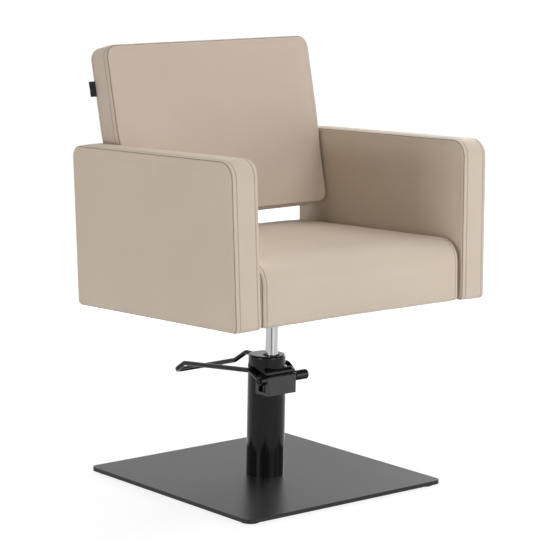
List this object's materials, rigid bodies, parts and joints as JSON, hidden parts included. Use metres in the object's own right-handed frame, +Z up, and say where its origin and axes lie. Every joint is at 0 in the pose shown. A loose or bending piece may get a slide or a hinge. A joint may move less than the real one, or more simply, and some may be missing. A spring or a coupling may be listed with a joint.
{
  "type": "hydraulic hairdressing chair",
  "caption": "Square box armchair with a leaning padded back on a hydraulic column with a foot pump lever and a square floor plate; the seat turns and rises.",
  "frame": {"origin": "on the floor, on the axis that the seat turns about, which is the chromed rod's own; the column and the floor plate are centred 13.5 mm behind it", "axes": "+Z up, the sitter faces -Y, the sitter's left arm is at +X"},
  "size_m": [0.638, 0.5371, 0.8645],
  "materials": {
    "plate_paint": "satin powder coat",
    "column_black": "gloss enamel",
    "block_black": "semi-gloss enamel on a casting",
    "lever_black": "semi-gloss enamel",
    "mount_black": "satin powder coat",
    "chrome": "polished",
    "steel": "turned and ground",
    "fixing_zinc": "zinc plated",
    "fixing_black": "blackened",
    "bush_bronze": "plain turned",
    "rubber_black": "matt",
    "glide_plastic": "moulded",
    "leather_seat": "smooth soft-grained, semi-matt",
    "leather_back": "smooth soft-grained, semi-matt",
    "timber": "planed, unfinished",
    "board": "plywood, unfinished",
    "lining_cloth": "non-woven lining",
    "tag_cloth": "tight black weave, blank"
  },
  "bodies": {
    "base": {"base_plate": "plate_paint", "base_feet": "glide_plastic", "foot_screws": "fixing_zinc", "base_bolts": "fixing_zinc", "column_flange": "steel", "column_tube": "column_black", "column_cap": "column_black", "rod_guide_bush": "bush_bronze", "rod_wiper": "rubber_black", "oil_cylinder": "steel", "oil_pipe": "steel", "pump_block": "block_black", "block_cover": "block_black", "cover_screws": "fixing_black", "shaft_bushes": "bush_bronze", "plunger_sleeve": "steel"},
    "lift": {"piston_head": "steel", "piston_seals": "rubber_black", "thrust_washer": "steel"},
    "seat": {"piston_rod": "chrome", "rod_snap_ring": "steel", "seat_mount": "mount_black", "mount_bolts": "fixing_zinc", "tee_nuts": "fixing_zinc", "seat_box": "timber", "seat_board": "board", "dust_cover": "lining_cloth", "seat_cushion": "leather_seat", "arm_frame_left": "timber", "arm_frame_right": "timber", "arm_pad_left": "leather_seat", "arm_pad_right": "leather_seat", "arm_bolts": "fixing_zinc", "arm_spacers": "steel", "back_frame": "timber", "back_cushion": "leather_back", "back_bolts": "fixing_zinc", "back_spacers": "steel", "side_tag": "tag_cloth"},
    "pedal": {"pedal_lever": "lever_black", "pivot_shaft": "steel", "pump_crank": "steel", "crank_pin": "fixing_zinc", "pedal_screw": "fixing_black", "pedal_washer": "fixing_black", "pedal_grub_screw": "fixing_black"},
    "plunger": {"pump_plunger": "steel", "plunger_spring": "steel"}
  },
  "joints": [
    {"name": "lift", "type": "slide", "parent": "base", "child": "lift", "axis": [0, 0, 1], "range_m": [-0.06, 0.09]},
    {"name": "swivel", "type": "hinge", "parent": "lift", "child": "seat", "pos_m": [0, 0, 0.1], "axis": [0, 0, 1], "continuous": true},
    {"name": "pump_pedal", "type": "hinge", "parent": "base", "child": "pedal", "pos_m": [0, -0.0235, 0.2125], "axis": [-1, 0, 0], "range_deg": [0, 20], "stiffness_Nm_per_rad": 10, "springref_deg": -28.65},
    {"name": "pump_stroke", "type": "slide", "parent": "base", "child": "plunger", "axis": [0, 0, -1], "range_m": [0, 0.0039], "deforming": ["plunger_spring"]}
  ],
  "couplings": [
    {"joint": "pump_stroke", "follows": "pump_pedal", "m_per_rad": 0.011}
  ]
}
